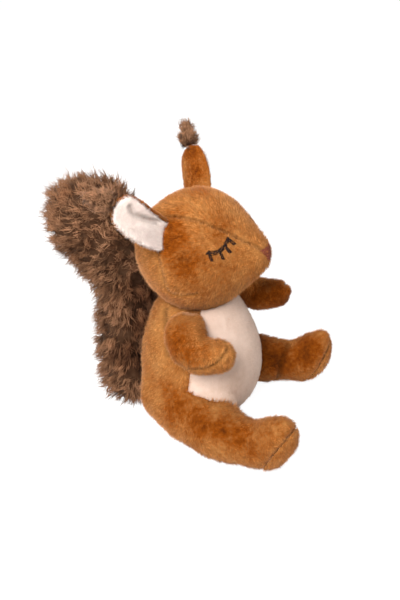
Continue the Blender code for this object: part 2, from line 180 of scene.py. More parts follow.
# Short pile of each piece: the degrees of its lay are how far it stands up off the skin
HEAD_PILE = dict(count=38000, length=2.5 * MM, radius=0.17 * MM, lay=36)
BODY_PILE = dict(count=41500, length=2.5 * MM, radius=0.17 * MM, lay=36)
BELLY_PILE = dict(count=12000, length=1.5 * MM, radius=0.15 * MM, lay=25)
SOLE_PILE = dict(count=2900, length=2.1 * MM, radius=0.17 * MM, lay=42)
ARM_PILE = dict(count=10500, length=2.4 * MM, radius=0.17 * MM, lay=36)
EAR_PILE = dict(count=6000, length=1.5 * MM, radius=0.15 * MM, lay=30)
LINING_PILE = dict(count=3800, length=2.2 * MM, radius=0.14 * MM, lay=30)

# Long pile of the tufts and the tail, in clumps: spread is how far the roots of a clump lie apart, and stand
# is how much it stands up off the skin against how much it follows the nap
TUFT_PILE = dict(clumps=240, per_clump=7, length=5 * MM, radius=0.18 * MM, spread=0.7 * MM, stand=0.15)
TAIL_PILE = dict(clumps=2050, per_clump=9, length=8.5 * MM, radius=0.27 * MM, spread=1.2 * MM, stand=1.3)

# Short pile: how far it swirls off the nap, how many degrees its stand drifts, and how its strands differ,
# as shares of their length and radius. Shades go from -1 to 1, and some strands are darker than the rest
SWIRL_DRIFT = 0.5
SWIRL_PATCH = 7 * MM
SWIRL_RANDOM = 0.65
STAND_DRIFT = 12
STAND_PATCH = 8 * MM
STAND_LEAST = 7
STAND_MOST = 85
SHORT_LENGTHS = (0.65, 1.15)
SHORT_RADII = (0.7, 1.2)
SHORT_SHADE = 0.5
SHORT_SHADE_DRIFT = 0.3
SHORT_SHADE_PATCH = 3 * MM
DARKER_STRANDS = 0.55

# Short pile beside a seam: bare where the seam is deeper than this, more upright by this many degrees and
# shorter by this share, out to this many widths of the seam. It is painted dark, as shade in the groove,
# where the place this share of the way along it lies in a seam of this many widths
SEAM_BARE = 0.6
SEAM_STAND = 40
SEAM_SHORTER = 0.55
SEAM_STAND_REACH = 2.2
SEAM_DARK_FROM = 0.6
SEAM_DARK_REACH = 0.8

# Short pile beside the belly panel: more upright by this many degrees and longer by this share
FRINGE_STAND = 15
FRINGE_LONGER = 0.7

# Long pile: how clumps and strands differ, as shares of their length and radius, how much of their spread
# they lose towards the tip, and how far they curl halfway and at the tip, as shares of their length
LEAN_RANDOM = 0.55
CLUMP_LENGTHS = (0.6, 1.2)
LONG_LENGTHS = (0.7, 1.05)
LONG_RADII = (0.75, 1.25)
CLUMP_SHADE = 0.6
LONG_SHADE_DRIFT = 0.4
LONG_SHADE_PATCH = 16 * MM
LONG_SHADE_RANDOM = 0.25
STRAY = 0.2
GATHER = 0.7
CURL_HALFWAY = 0.34
CURL_AT_TIP = 0.18

# How much of each strand's own roundness shows in its shading, against the skin's
SHORT_SIDE_LIGHT = 0.45
LONG_SIDE_LIGHT = 0.8

# Where the nap turns: on the legs from down to forwards, over these distances in front of the middle, and
# on the arms and the tail over these heights
LEG_TURN = (2 * MM, 24 * MM)
LEG_TOP = 50 * MM
ELBOW = (64 * MM, 76 * MM)
TAIL_TURN = (90 * MM, 120 * MM)

# Studio: lamps as place and size in metres and power in watts, the floor with its own glow and the share of
# the shadow that it keeps, and the light all round
LAMPS = {
    "key": ((-0.75, 0.03, 0.75), 0.55, 14),
    "fill": ((-0.1, -0.95, 0.45), 0.8, 2),
    "top": ((0.1, 0.3, 1.1), 0.8, 3.5),
}
FLOOR_HALF_SIZE = 4
FLOOR_GAP = 0.2 * MM
FLOOR_WHITE = 0.82
FLOOR_GLOW = 1.25
FLOOR_SHADOW_SHARE = 0.25
WORLD_STRENGTH = 0.36

# Colours, in linear light. Pile has three: dark, deep and light, with the deep one at this share of the way.
# A fine mottle is added to the pallor by this share, and the sum is dark and light at these values
DEEP_AT = 0.35
MOTTLE_SHARE = 0.7
DARK_SUM = 0.35
LIGHT_SUM = 1.35
# The dark end of each pile's colours is reached only under strong marks, and stands partly for painted
# shade: on the far arm and leg, the lower belly, the tail by the body and the lining's fold
BROWN = [(0.14, 0.03, 0.002), (0.37, 0.085, 0.004), (0.7, 0.3, 0.085)]
CREAM = [(0.5, 0.34, 0.26), (0.64, 0.46, 0.36), (0.74, 0.56, 0.46)]
PINK = [(0.6, 0.44, 0.41), (0.84, 0.66, 0.6), (1, 0.86, 0.77)]
FUR = [(0.045, 0.016, 0.008), (0.165, 0.072, 0.034), (0.38, 0.195, 0.105)]
EYE_THREAD = (0.013, 0.006, 0.004)
NOSE_THREAD = (0.2, 0.05, 0.028)


def unit(vectors):
    return vectors / np.maximum(np.linalg.norm(vectors, axis=-1, keepdims=True), 1e-12)


def soft_noise(points, size, seed):
    """A smooth value, about -1 to 1, that changes over this size: a sum of waves of about that size."""
    rng = np.random.default_rng(seed)
    waves = 7
    total = np.zeros(len(points))
    for _ in range(waves):
        frequency = unit(rng.normal(size=3)) * (2 * math.pi / size * rng.uniform(0.6, 1.5))
        total += np.sin(points @ frequency + rng.uniform(0, 2 * math.pi))
    return total / math.sqrt(waves)


def point_normals(points, triangles):
    a, b, c = (points[triangles[:, k]] for k in range(3))
    across = np.cross(b - a, c - a)
    normals = np.zeros_like(points)
    for k in range(3):
        np.add.at(normals, triangles[:, k], across)
    return unit(normals)


def brushed_and_shaded(points, marks):
    """How strongly these places are marked deeper, 0 to 1: by brushed pile and by painted shade."""
    left = np.ones(len(points))
    for place_of, radius, strength in marks:
        distance = np.linalg.norm(points - np.array(place_of) * MM, axis=1)
        left = np.minimum(left, 1 - strength * np.exp(-((distance / (radius * MM)) ** 2)))
    return 1 - left


class Skin:
    """A closed surface of small triangles, with its seams, its patches of brushed pile and painted shade,
    and what is let into it.
    """

    def __init__(self, points, triangles):
        self.points = points
        self.triangles = triangles
        self.normals = point_normals(points, triangles)
        self.seams = []
        self.marks = []
        self.inlay = None

    def pallor(self, points, seed):
        """How pale the pile is at these places, 0 to 1. Beside a seam it stands up and is paler."""
        wide = WIDE_DRIFT * soft_noise(points, WIDE_PATCH, seed)
        fine = FINE_DRIFT * soft_noise(points, FINE_PATCH, seed + 1)
        raised = SEAM_PALLOR * self.in_seam(points, SEAM_PALLOR_REACH)
        return np.clip(PALLOR + wide + fine - brushed_and_shaded(points, self.marks) + raised, 0, 1)

    def beyond_inlay(self, points):
        """How far these places lie beyond the border round the skin that is let into this one."""
        tree = self.inlay.tree()
        return np.array([tree.find_nearest(Vector(point))[3] for point in points]) - INLAY_BORDER

    def fringe(self, points):
        """How near these places are to the inlay's border, 0 to 1."""
        if self.inlay is None:
            return np.zeros(len(points))
        return np.exp(-((self.beyond_inlay(points) / FRINGE_WIDTH) ** 2))

    def density(self, points):
        """How densely pile grows: not underneath or within the inlay's border, and twice just past that."""
        if self.inlay is None:
            return np.ones(len(points))
        grows = (points[:, 2] > UNDERSIDE) & (self.beyond_inlay(points) > 0)
        return np.where(grows, 1 + self.fringe(points), 0)

    def in_seam(self, points, spread=1):
        """How deep these places lie in a seam that is this much wider, 0 to 1."""
        deepest = np.zeros(len(points))
        for path, width in self.seams:
            distance, _ = distance_to(points, path)
            deepest = np.maximum(deepest, np.exp(-((distance / width / spread) ** 2)))
        return deepest

    def tree(self):
        return BVHTree.FromPolygons(self.points.tolist(), self.triangles.tolist())

    def shift(self, distance):
        """Moves each point out by its own distance."""
        self.points = self.points + self.normals * np.reshape(distance, (-1, 1))
        self.normals = point_normals(self.points, self.triangles)


def skin_of(node, grid, passes):
    """The node's shape remade with faces of one size, then smoothed, so that no CAD facet shows."""
    helper = bpy.data.objects.new("helper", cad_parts[node].data.copy())
    bpy.context.scene.collection.objects.link(helper)
    remesh = helper.modifiers.new("remesh", "REMESH")
    remesh.mode = "VOXEL"
    remesh.voxel_size = grid
    smooth = helper.modifiers.new("smooth", "SMOOTH")
    smooth.factor = 0.5
    smooth.iterations = passes
    helper.modifiers.new("triangles", "TRIANGULATE")
    bpy.context.view_layer.update()
    mesh = helper.evaluated_get(bpy.context.evaluated_depsgraph_get()).to_mesh()
    points = np.empty(len(mesh.vertices) * 3)
    mesh.vertices.foreach_get("co", points)
    triangles = np.empty(len(mesh.polygons) * 3, np.int64)
    mesh.polygons.foreach_get("vertices", triangles)
    bpy.data.objects.remove(helper)
    return Skin(points.reshape(-1, 3), triangles.reshape(-1, 3))


def distance_to(points, path):
    """Each point's distance to the nearest place on a path of straight pieces, and how far along that is."""
    nearest = np.full(len(points), np.inf)
    reached = np.zeros(len(points))
    travelled = 0.0
    for start, end in zip(path[:-1], path[1:]):
        line = end - start
        length = np.linalg.norm(line)
        share = np.clip((points - start) @ line / length**2, 0, 1)
        distance = np.linalg.norm(points - start - share[:, None] * line, axis=1)
        closer = distance < nearest
        nearest[closer] = distance[closer]
        reached[closer] = travelled + share[closer] * length
        travelled += length
    return nearest, reached


def sewn(skin, paths, depth, width, pucker):
    """Pulls the skin in along its seams, with small puckers across them."""
    for path in paths:
        distance, reached = distance_to(skin.points, path)
        groove = -depth * np.exp(-((distance / width) ** 2))
        ripple = pucker * np.sin(reached * 2 * math.pi / (5 * MM)) * np.exp(-((distance / (3 * width)) ** 2))
        skin.shift(groove + ripple)
        skin.seams.append((path, width))


def laid_on(skin, places):
    """A smooth line through places near the skin, moved onto it."""
    tree = skin.tree()
    return np.array([tree.find_nearest(Vector(place_at))[0] for place_at in smoothed(places, 4)])


def roots_on(skin, count, rng):
    """Random places on the skin, spread by its area and the pile's density: points, normals."""
    a, b, c = (skin.points[skin.triangles[:, k]] for k in range(3))
    share = np.linalg.norm(np.cross(b - a, c - a), axis=1) * skin.density((a + b + c) / 3)
    chosen = rng.choice(len(share), size=count, p=share / share.sum())
    u, v = rng.random(count), rng.random(count)
    over = u + v > 1
    u[over], v[over] = 1 - u[over], 1 - v[over]
    weights = np.stack([1 - u - v, u, v], axis=1)[:, :, None]
    corners = skin.triangles[chosen]
    points = (skin.points[corners] * weights).sum(axis=1)
    normals = unit((skin.normals[corners] * weights).sum(axis=1))
    return points, normals


class Strands:
    """Closed three-sided strands, all with the same number of rings."""

    def __init__(self, lines, radii, normals, side_light, shades, pallor, depth, rng):
        """Lines is strands x (rings + 1) x 3, and radii is strands x rings. The normals are the skin's, and
        side light says how much of each strand's own roundness is added to them. Each strand has its own
        shade, its pallor, and its depth in a seam."""
        count, places = lines.shape[:2]
        rings = places - 1
        along = unit(lines[:, -1] - lines[:, 0])
        helper = np.where(np.abs(along[:, 2:3]) < 0.9, [[0.0, 0.0, 1.0]], [[1.0, 0.0, 0.0]])
        across = unit(np.cross(along, helper))
        up = np.cross(along, across)
        turn = rng.uniform(0, 2 * math.pi, count)
        # In the texture square, each strand has a cell of its own, and its points lie well inside that
        points, shading, tips, cells = [], [], [], []
        for ring in range(rings):
            for corner in range(3):
                angle = turn + corner * 2 * math.pi / 3
                out = across * np.cos(angle)[:, None] + up * np.sin(angle)[:, None]
                points.append(lines[:, ring] + out * radii[:, ring][:, None])
                shading.append(unit(normals + side_light * out))
                tips.append(ring / rings)
                cells.append((0.15 + 0.7 * ring / rings, 0.2 + 0.3 * corner))
        points.append(lines[:, -1])
        shading.append(unit(normals + side_light * along))
        tips.append(1.0)
        cells.append((0.85, 0.5))
        faces = [(0, 2, 1)]
        for ring in range(rings - 1):
            for corner in range(3):
                low, next_low = 3 * ring + corner, 3 * ring + (corner + 1) % 3
                faces += [(low, next_low, next_low + 3), (low, next_low + 3, low + 3)]
        top = 3 * (rings - 1)
        faces += [(top + corner, top + (corner + 1) % 3, 3 * rings) for corner in range(3)]
        size = len(points)
        self.points = np.stack(points, axis=1).reshape(-1, 3)
        self.shading = np.stack(shading, axis=1).reshape(-1, 3)
        self.tips = np.tile(tips, count)
        self.shades = np.repeat(shades, size)
        self.pallor = np.repeat(pallor, size)
        self.depth = np.repeat(depth, size)
        self.triangles = (np.array(faces)[None] + size * np.arange(count)[:, None, None]).reshape(-1, 3)
        # The cells are square and fill the lower third of the texture square
        columns = math.ceil(math.sqrt(3 * count))
        rows = math.ceil(count / columns)
        column, row = np.arange(count) % columns, np.arange(count) // columns
        cells = np.array(cells)
        u = (column[:, None] + cells[None, :, 0]) / columns
        v = (row[:, None] + cells[None, :, 1]) / rows / 3
        self.uv = np.stack([u, v], axis=2).reshape(-1, 2)


def skin_uv(skin):
    """Box projection: six charts by the side a triangle faces, in the upper two thirds of the square."""
    corners = skin.points[skin.triangles]
    facing = np.cross(corners[:, 1] - corners[:, 0], corners[:, 2] - corners[:, 0])
    axis = np.abs(facing).argmax(axis=1)
    chart = axis + 3 * (facing[np.arange(len(axis)), axis] > 0)
    low, high = skin.points.min(axis=0), skin.points.max(axis=0)
    margin = 0.02
    share = (corners - low) / (high - low) * (1 - 2 * margin) + margin
    first, second = (axis + 1) % 3, (axis + 2) % 3
    rows = np.arange(len(axis))
    u = (share[rows, :, first] + (chart % 3)[:, None]) / 3
    v = (share[rows, :, second] + (chart // 3)[:, None] + 1) / 3
    return np.stack([u, v], axis=2).reshape(-1, 2)


def mesh_from(name, points, triangles, shading, values, uv):
    """Values are the named numbers of each point that its material reads."""
    mesh = bpy.data.meshes.new(name)
    mesh.vertices.add(len(points))
    mesh.vertices.foreach_set("co", points.ravel())
    mesh.loops.add(triangles.size)
    mesh.loops.foreach_set("vertex_index", triangles.ravel())
    mesh.polygons.add(len(triangles))
    mesh.polygons.foreach_set("loop_start", np.arange(0, triangles.size, 3))
    mesh.update(calc_edges=True)
    for value_name, numbers in values.items():
        mesh.attributes.new(value_name, "FLOAT", "POINT").data.foreach_set("value", numbers)
    mesh.uv_layers.new(name="OFBake").data.foreach_set("uv", uv.ravel())
    mesh.polygons.foreach_set("use_smooth", np.ones(len(triangles), bool))
    mesh.normals_split_custom_set_from_vertices(shading)
    return mesh


def piece_from(node, material, skin, strands):
    """The dressed piece that stands for the node: the skin, pressed flat by the floor, and its strands."""
    name = f"{node}_fabric"
    count = len(skin.points)
    skin.points[:, 2] = np.maximum(skin.points[:, 2], 0)
    # The skin takes the roots' tip value of 0, so it is dark between the strands: partly painted shade among
    # them
    values = {
        "tip": np.concatenate([np.zeros(count), strands.tips]),
        "shade": np.concatenate([np.zeros(count), strands.shades]),
        "pallor": np.concatenate([skin.pallor(skin.points, seed=900), strands.pallor]),
        "depth": np.concatenate([skin.in_seam(skin.points), strands.depth]),
    }
    mesh = mesh_from(
        name,
        np.vstack([skin.points, strands.points]),
        np.vstack([skin.triangles, strands.triangles + count]),
        np.vstack([skin.normals, strands.shading]),
        values,
        np.vstack([skin_uv(skin), strands.uv[strands.triangles.ravel()]]),
    )
    return place(name, mesh, material, node)


def place(name, mesh, material, node):
    piece = bpy.data.objects.new(name, mesh)
    bpy.context.scene.collection.objects.link(piece)
    mesh.materials.append(material)
    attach(piece, "root")
    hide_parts(node)
    return piece


def off_floor(lines, radius):
    """The strands' lines, lifted where they would reach the floor."""
    lines[:, :, 2] = np.maximum(lines[:, :, 2], FLOOR_CLEARANCE + radius)
    return lines


def short_pile(skin, count, seed, nap, length, radius, lay):
    """Strands of short pile that lie along the nap. Lay is the degrees that they stand off the skin. None
    grow in the bottom of a seam, those beside it are short and upright, and those that reach it are painted
    dark, as shade in its groove. Those beside an inlay are long and lean over its edge."""
    rng = np.random.default_rng(seed)
    points, normals = roots_on(skin, count, rng)
    beside = skin.in_seam(points) < SEAM_BARE
    points, normals, count = points[beside], normals[beside], int(beside.sum())
    near_seam = skin.in_seam(points, SEAM_STAND_REACH)
    fringe = skin.fringe(points)
    tangents = nap(points)
    if skin.inlay is not None:
        inwards = unit(skin.inlay.points.mean(axis=0) - points)
        tangents = unit(tangents) * (1 - fringe[:, None]) + inwards * fringe[:, None]
    tangents = unit(tangents - normals * (tangents * normals).sum(axis=1, keepdims=True))
    sideways = np.cross(normals, tangents)
    swirl = SWIRL_DRIFT * soft_noise(points, SWIRL_PATCH, seed + 1) + rng.normal(0, SWIRL_RANDOM, count)
    tangents = unit(tangents + sideways * swirl[:, None])
    stand = lay + SEAM_STAND * near_seam + FRINGE_STAND * fringe
    stand += STAND_DRIFT * soft_noise(points, STAND_PATCH, seed + 2) + rng.normal(0, STAND_DRIFT, count)
    stand = np.radians(np.clip(stand, STAND_LEAST, STAND_MOST))[:, None]
    direction = tangents * np.cos(stand) + normals * np.sin(stand)
    lengths = length * rng.uniform(*SHORT_LENGTHS, count)
    lengths = (lengths * (1 - SEAM_SHORTER * near_seam) * (1 + FRINGE_LONGER * fringe))[:, None]
    depth = skin.in_seam(points + SEAM_DARK_FROM * direction * lengths, SEAM_DARK_REACH)
    lines = np.stack([points - normals * radius, points + direction * lengths], axis=1)
    radii = radius * rng.uniform(*SHORT_RADII, (count, SHORT_RINGS))
    drift = SHORT_SHADE_DRIFT * soft_noise(points, SHORT_SHADE_PATCH, seed + 3)
    shades = np.clip(SHORT_SHADE + drift - rng.exponential(DARKER_STRANDS, count), -1, 1)
    pallor = skin.pallor(points, seed + 4)
    return Strands(off_floor(lines, radius), radii, normals, SHORT_SIDE_LIGHT, shades, pallor, depth, rng)


def long_pile(skin, clumps, per_clump, seed, nap, length, radius, spread, stand):
    """Curly strands that gather to a point with the others of their clump. Stand says how much they stand up
    off the skin against how much they follow the nap."""
    rng = np.random.default_rng(seed)
    centres, normals = roots_on(skin, clumps, rng)
    tangents = unit(nap(centres))
    lean = unit(stand * normals + tangents + rng.normal(0, LEAN_RANDOM, (clumps, 3)))
    bend = unit(np.cross(lean, rng.normal(size=(clumps, 3))))
    lengths = length * rng.uniform(*CLUMP_LENGTHS, clumps)
    shades = CLUMP_SHADE * rng.uniform(-1, 1, clumps)
    shades += LONG_SHADE_DRIFT * soft_noise(centres, LONG_SHADE_PATCH, seed + 3)
    centres, normals, lean, bend = (np.repeat(x, per_clump, axis=0) for x in (centres, normals, lean, bend))
    count = clumps * per_clump
    lengths = np.repeat(lengths, per_clump) * rng.uniform(*LONG_LENGTHS, count)
    shades = np.clip(np.repeat(shades, per_clump) + rng.normal(0, LONG_SHADE_RANDOM, count), -1, 1)
    pallor = skin.pallor(centres, seed + 4)
    offset = rng.normal(0, spread, (count, 3))
    offset -= normals * (offset * normals).sum(axis=1, keepdims=True)
    stray = rng.normal(0, STRAY, (count, 3))
    lines = []
    for share in np.linspace(0, 1, len(LONG_PROFILE) + 1):
        curl = bend * (CURL_HALFWAY * math.sin(math.pi * share) + CURL_AT_TIP * share**2)
        along = (lean * share + curl + stray * share) * lengths[:, None]
        lines.append(centres + offset * (1 - GATHER * share) + along)
    lines = off_floor(np.stack(lines, axis=1), radius)
    radii = radius * rng.uniform(*LONG_RADII, (count, 1)) * LONG_PROFILE
    return Strands(lines, radii, normals, LONG_SIDE_LIGHT, shades, pallor, np.zeros(count), rng)


def new_material(name):
    made = bpy.data.materials.new(name)
    made.use_nodes = True
    return made, made.node_tree.nodes, made.node_tree.links


def noise_node(nodes, links, where, scale, detail):
    noise = nodes.new("ShaderNodeTexNoise")
    noise.inputs["Scale"].default_value = scale
    noise.inputs["Detail"].default_value = detail
    links.new(where.outputs["Object"], noise.inputs["Vector"])
    return noise


def ranged(nodes, links, value, low, high, to_low, to_high):
    """The value mapped from one range to another, clamped."""
    mapped = nodes.new("ShaderNodeMapRange")
    mapped.inputs["From Min"].default_value = low
    mapped.inputs["From Max"].default_value = high
    mapped.inputs["To Min"].default_value = to_low
    mapped.inputs["To Max"].default_value = to_high
    links.new(value, mapped.inputs["Value"])
    return mapped.outputs["Result"]


def times(nodes, links, first, second):
    product = nodes.new("ShaderNodeMath")
    product.operation = "MULTIPLY"
    links.new(first, product.inputs[0])
    links.new(second, product.inputs[1])
    return product.outputs[0]


def value_of(nodes, name):
    """The named number that the mesh holds for each of its points."""
    node = nodes.new("ShaderNodeAttribute")
    node.attribute_name = name
    return node.outputs["Fac"]


def pile(name, colours, mottle, sheen, root_shade, tip_shade, strand_shade, seam_shade=0.2):
    """Pile: from dark over deep to light by its own pallor and a fine mottle, with dark roots, light tips
    and dark seams, and strands that differ a little. The dark seams are painted shade in their grooves and
    folds, and the dark roots are partly painted shade among the strands."""
    made, nodes, links = new_material(name)
    shader = nodes["Principled BSDF"]
    where = nodes.new("ShaderNodeTexCoord")
    fine = noise_node(nodes, links, where, scale=mottle, detail=3)
    mixed = nodes.new("ShaderNodeMath")
    mixed.operation = "MULTIPLY_ADD"
    mixed.inputs[1].default_value = MOTTLE_SHARE
    links.new(fine.outputs["Fac"], mixed.inputs[0])
    links.new(value_of(nodes, "pallor"), mixed.inputs[2])
    blend = nodes.new("ShaderNodeValToRGB")
    ramp = blend.color_ramp
    ramp.elements.new(DEEP_AT)
    for element, colour in zip(ramp.elements, colours):
        element.color = (*colour, 1)
    links.new(ranged(nodes, links, mixed.outputs[0], DARK_SUM, LIGHT_SUM, 0, 1), blend.inputs["Fac"])
    brightness = times(
        nodes,
        links,
        ranged(nodes, links, value_of(nodes, "tip"), 0, 1, root_shade, tip_shade),
        ranged(nodes, links, value_of(nodes, "shade"), -1, 1, 1 - strand_shade, 1 + strand_shade),
    )
    brightness = times(
        nodes, links, brightness, ranged(nodes, links, value_of(nodes, "depth"), 0, 1, 1, seam_shade)
    )
    tinted = nodes.new("ShaderNodeVectorMath")
    tinted.operation = "SCALE"
    links.new(blend.outputs["Color"], tinted.inputs[0])
    links.new(brightness, tinted.inputs["Scale"])
    links.new(tinted.outputs["Vector"], shader.inputs["Base Color"])
    shader.inputs["Roughness"].default_value = 0.95
    shader.inputs["Specular IOR Level"].default_value = 0.05
    shader.inputs["Sheen Weight"].default_value = sheen
    shader.inputs["Sheen Roughness"].default_value = 0.45
    shader.inputs["Sheen Tint"].default_value = (*[min(1, 0.2 + c) for c in colours[2]], 1)
    return made


def thread(name, colour):
    """Rayon thread: a soft gloss, and strands that differ a little."""
    made, nodes, links = new_material(name)
    shader = nodes["Principled BSDF"]
    where = nodes.new("ShaderNodeTexCoord")
    grain = noise_node(nodes, links, where, scale=THREAD_GRAIN, detail=2)
    shade = ranged(nodes, links, grain.outputs["Fac"], 0.3, 0.7, *THREAD_SHADES)
    tinted = nodes.new("ShaderNodeVectorMath")
    tinted.operation = "SCALE"
    tinted.inputs[0].default_value = colour
    links.new(shade, tinted.inputs["Scale"])
    links.new(tinted.outputs["Vector"], shader.inputs["Base Color"])
    shader.inputs["Roughness"].default_value = 0.6
    shader.inputs["Specular IOR Level"].default_value = 0.12
    return made


def turn(angle, axis):
    return Matrix.Rotation(math.radians(angle), 4, axis)


def head_pose():
    return (
        Matrix.Translation(HEAD_CENTRE)
        @ turn(HEAD_TURN, "Z")
        @ turn(HEAD_TILT, "Y")
        @ turn(HEAD_NOD, "X")
    )


def on_head(tree, degrees, share):
    """The place on the head's skin, and the normal there, found by a ray from the head's long axis."""
    y = HEAD_LENGTH * math.cos(math.pi * share) / 2
    angle = math.radians(degrees)
    outwards = Vector((math.cos(angle) * HEAD_WIDTH, 0, math.sin(angle) * HEAD_HEIGHT)).normalized()
    pose = head_pose()
    point, normal, _, _ = tree.ray_cast(pose @ Vector((0, y, 0)), pose.to_3x3() @ outwards)
    return np.array(point), np.array(normal)


def seam_on_head(tree, places):
    return np.array([on_head(tree, degrees, share)[0] for degrees, share in places])


def mirrored(places):
    """The same places on the other side of the head."""
    return [(180 - degrees, share) for degrees, share in places]


def smoothed(places, step_count):
    """More places on a smooth line through these ones."""
    places = np.array(places, float)
    padded = np.vstack([2 * places[0] - places[1], places, 2 * places[-1] - places[-2]])
    found = []
    for i in range(1, len(padded) - 2):
        before, start, end, after = padded[i - 1 : i + 3]
        for k in range(step_count):
            t = k / step_count
            found.append(
                0.5
                * (
                    2 * start
                    + (end - before) * t
                    + (2 * before - 5 * start + 4 * end - after) * t**2
                    + (3 * start - before - 3 * end + after) * t**3
                )
            )
    found.append(places[-1])
    return np.array(found)


def evenly(points, step):
    """Places a step apart along the line of points."""
    gaps = np.linalg.norm(np.diff(points, axis=0), axis=1)
    travelled = np.concatenate([[0], np.cumsum(gaps)])
    wanted = np.linspace(0, travelled[-1], max(2, round(travelled[-1] / step) + 1))
    return np.stack([np.interp(wanted, travelled, points[:, k]) for k in range(3)], axis=1)


def tube(line, radius, sides):
    """The points and triangles of a closed round thread along the line, with its ends drawn in."""
    along = unit(np.gradient(line, axis=0))
    helper = np.array([0.0, 0.0, 1.0]) if abs(along[:, 2]).max() < 0.95 else np.array([1.0, 0.0, 0.0])
    across = unit(np.cross(along, helper))
    up = np.cross(along, across)
    last = len(line) - 1
    points = []
    for i in range(len(line)):
        size = radius * (THREAD_END if i in (0, last) else 1)
        for side in range(sides):
            angle = 2 * math.pi * side / sides
            points.append(line[i] + size * (across[i] * math.cos(angle) + up[i] * math.sin(angle)))
    faces = []
    for i in range(last):
        for side in range(sides):
            a, b = i * sides + side, i * sides + (side + 1) % sides
            faces += [(a, b, b + sides), (a, b + sides, a + sides)]
    for side in range(1, sides - 1):
        faces.append((0, side + 1, side))
        faces.append((last * sides, last * sides + side, last * sides + side + 1))
    return np.array(points), np.array(faces)


def embroidery(node, material, lines):
    """One piece made of thread along each of the lines."""
    name = f"{node}_fabric"
    bm = bmesh.new()
    for line in lines:
        points, faces = tube(line, THREAD_RADIUS, THREAD_SIDES)
        made = [bm.verts.new(point) for point in points]
        for face in faces:
            bm.faces.new([made[k] for k in face])
    bmesh.ops.recalc_face_normals(bm, faces=bm.faces)
    mesh = bpy.data.meshes.new(name)
    bm.to_mesh(mesh)
    bm.free()
    mesh.polygons.foreach_set("use_smooth", np.ones(len(mesh.polygons), bool))
    return place(name, mesh, material, node)


def lift_at(share, lift):
    """How far a stitch stands off the skin at this share of its half width from its middle."""
    at_ends, more_in_middle = lift
    return THREAD_RADIUS * (at_ends + more_in_middle * (1 - share**2))


def satin(tree, places, half_width):
    """Stitches laid side by side across a line of places on the head, each standing up in its middle."""
    found = [on_head(tree, *place_on) for place_on in smoothed(places, 8)]
    line = evenly(np.array([point for point, _ in found]), STITCH_STEP)
    stitches = []
    for i, centre in enumerate(line):
        _, normal, _, _ = tree.find_nearest(Vector(centre))
        normal = np.array(normal)
        along = unit(line[min(i + 1, len(line) - 1)] - line[max(i - 1, 0)])
        across = unit(np.cross(normal, along))
        angle = math.radians(STITCH_SLANT)
        direction = across * math.sin(angle) + along * math.cos(angle)
        stitch = []
        for share in np.linspace(-1, 1, 5):
            on_skin, _, _, _ = tree.find_nearest(Vector(centre + direction * (share * half_width)))
            stitch.append(np.array(on_skin) + normal * lift_at(share, EYE_LIFT))
        stitches.append(np.array(stitch))
    return stitches


def nose_stitches(tree):
    """Stitches from side to side of the nose's triangle, over the tip of the snout."""
    pose = head_pose()
    forwards = pose.to_3x3() @ Vector((0, 1, 0))
    rows = round((NOSE_TOP - NOSE_BOTTOM) / STITCH_STEP)
    stitches = []
    for row in range(rows + 1):
        share = row / rows
        half_width = NOSE_HALF_WIDTH + (NOSE_POINT - NOSE_HALF_WIDTH) * share
        height = NOSE_TOP + (NOSE_BOTTOM - NOSE_TOP) * share
        stitch = []
        for across in np.linspace(-1, 1, 13):
            start = pose @ Vector((across * half_width, -HEAD_LENGTH, height))
            point, normal, _, _ = tree.ray_cast(start, forwards)
            stitch.append(np.array(point + normal * lift_at(across, NOSE_LIFT)))
        stitches.append(np.array(stitch))
    return stitches


def down_to_feet(points):
    """Down the body, and along the legs towards the feet."""
    leg = np.interp(-points[:, 1], LEG_TURN, (0, 1)) * (points[:, 2] < LEG_TOP)
    side = np.sign(points[:, 0])
    down = np.array([0, 0.15, -1.0])
    forwards = np.stack([0.15 * side, np.full(len(points), -1.0), np.full(len(points), -0.25)], axis=1)
    return down * (1 - leg[:, None]) + forwards * leg[:, None]


def back_from_nose(points):
    nose_tip = np.array(head_pose() @ Vector((0, -HEAD_LENGTH / 2, 0)))
    return unit(points - nose_tip) + np.array([0, 0, -0.35])


def along_arm(points):
    """Down the upper arm, and forwards along the lower one."""
    bent = np.interp(points[:, 2], ELBOW, (1, 0))[:, None]
    return np.array([-0.2, -0.1, -1.0]) * (1 - bent) + np.array([0, -1.0, 0.1]) * bent


def along_ear(points):
    side = np.sign(points[:, 0])
    return np.stack([0.5 * side, np.full(len(points), 0.45), np.full(len(points), 0.75)], axis=1)


def downwards(points):
    return np.tile([0, 0, -1.0], (len(points), 1))


def from_middle(points):
    return points - points.mean(axis=0)


def out_of_tail(points):
    """Down the tail's stem, and back over its curled top."""
    top = np.interp(points[:, 2], TAIL_TURN, (0, 1))[:, None]
    return np.array([0, 0.1, -1.0]) * (1 - top) + np.array([0, 0.8, 0.35]) * top


def along_tuft(points):
    """Away from the ear: up from the left one, and back and out from the right one."""
    left = (points[:, 0] > 0)[:, None]
    return np.where(left, LEFT_TUFT_DIRECTION, RIGHT_TUFT_DIRECTION)


def set_camera():
    azimuth, elevation = math.radians(CAMERA_AZIMUTH), math.radians(CAMERA_ELEVATION)
    back = Vector((
        math.sin(azimuth) * math.cos(elevation),
        -math.cos(azimuth) * math.cos(elevation),
        math.sin(elevation),
    ))
    camera = bpy.data.objects.new("camera", bpy.data.cameras.new("camera"))
    camera.data.lens = CAMERA_LENS
    camera.data.sensor_width = CAMERA_SENSOR
    camera.data.clip_start = 10 * MM
    camera.location = CAMERA_TARGET + back * CAMERA_DISTANCE
    camera.rotation_mode = "QUATERNION"
    camera.rotation_quaternion = (-back).to_track_quat("-Z", "Y")
    bpy.context.scene.collection.objects.link(camera)
    bpy.context.scene.camera = camera


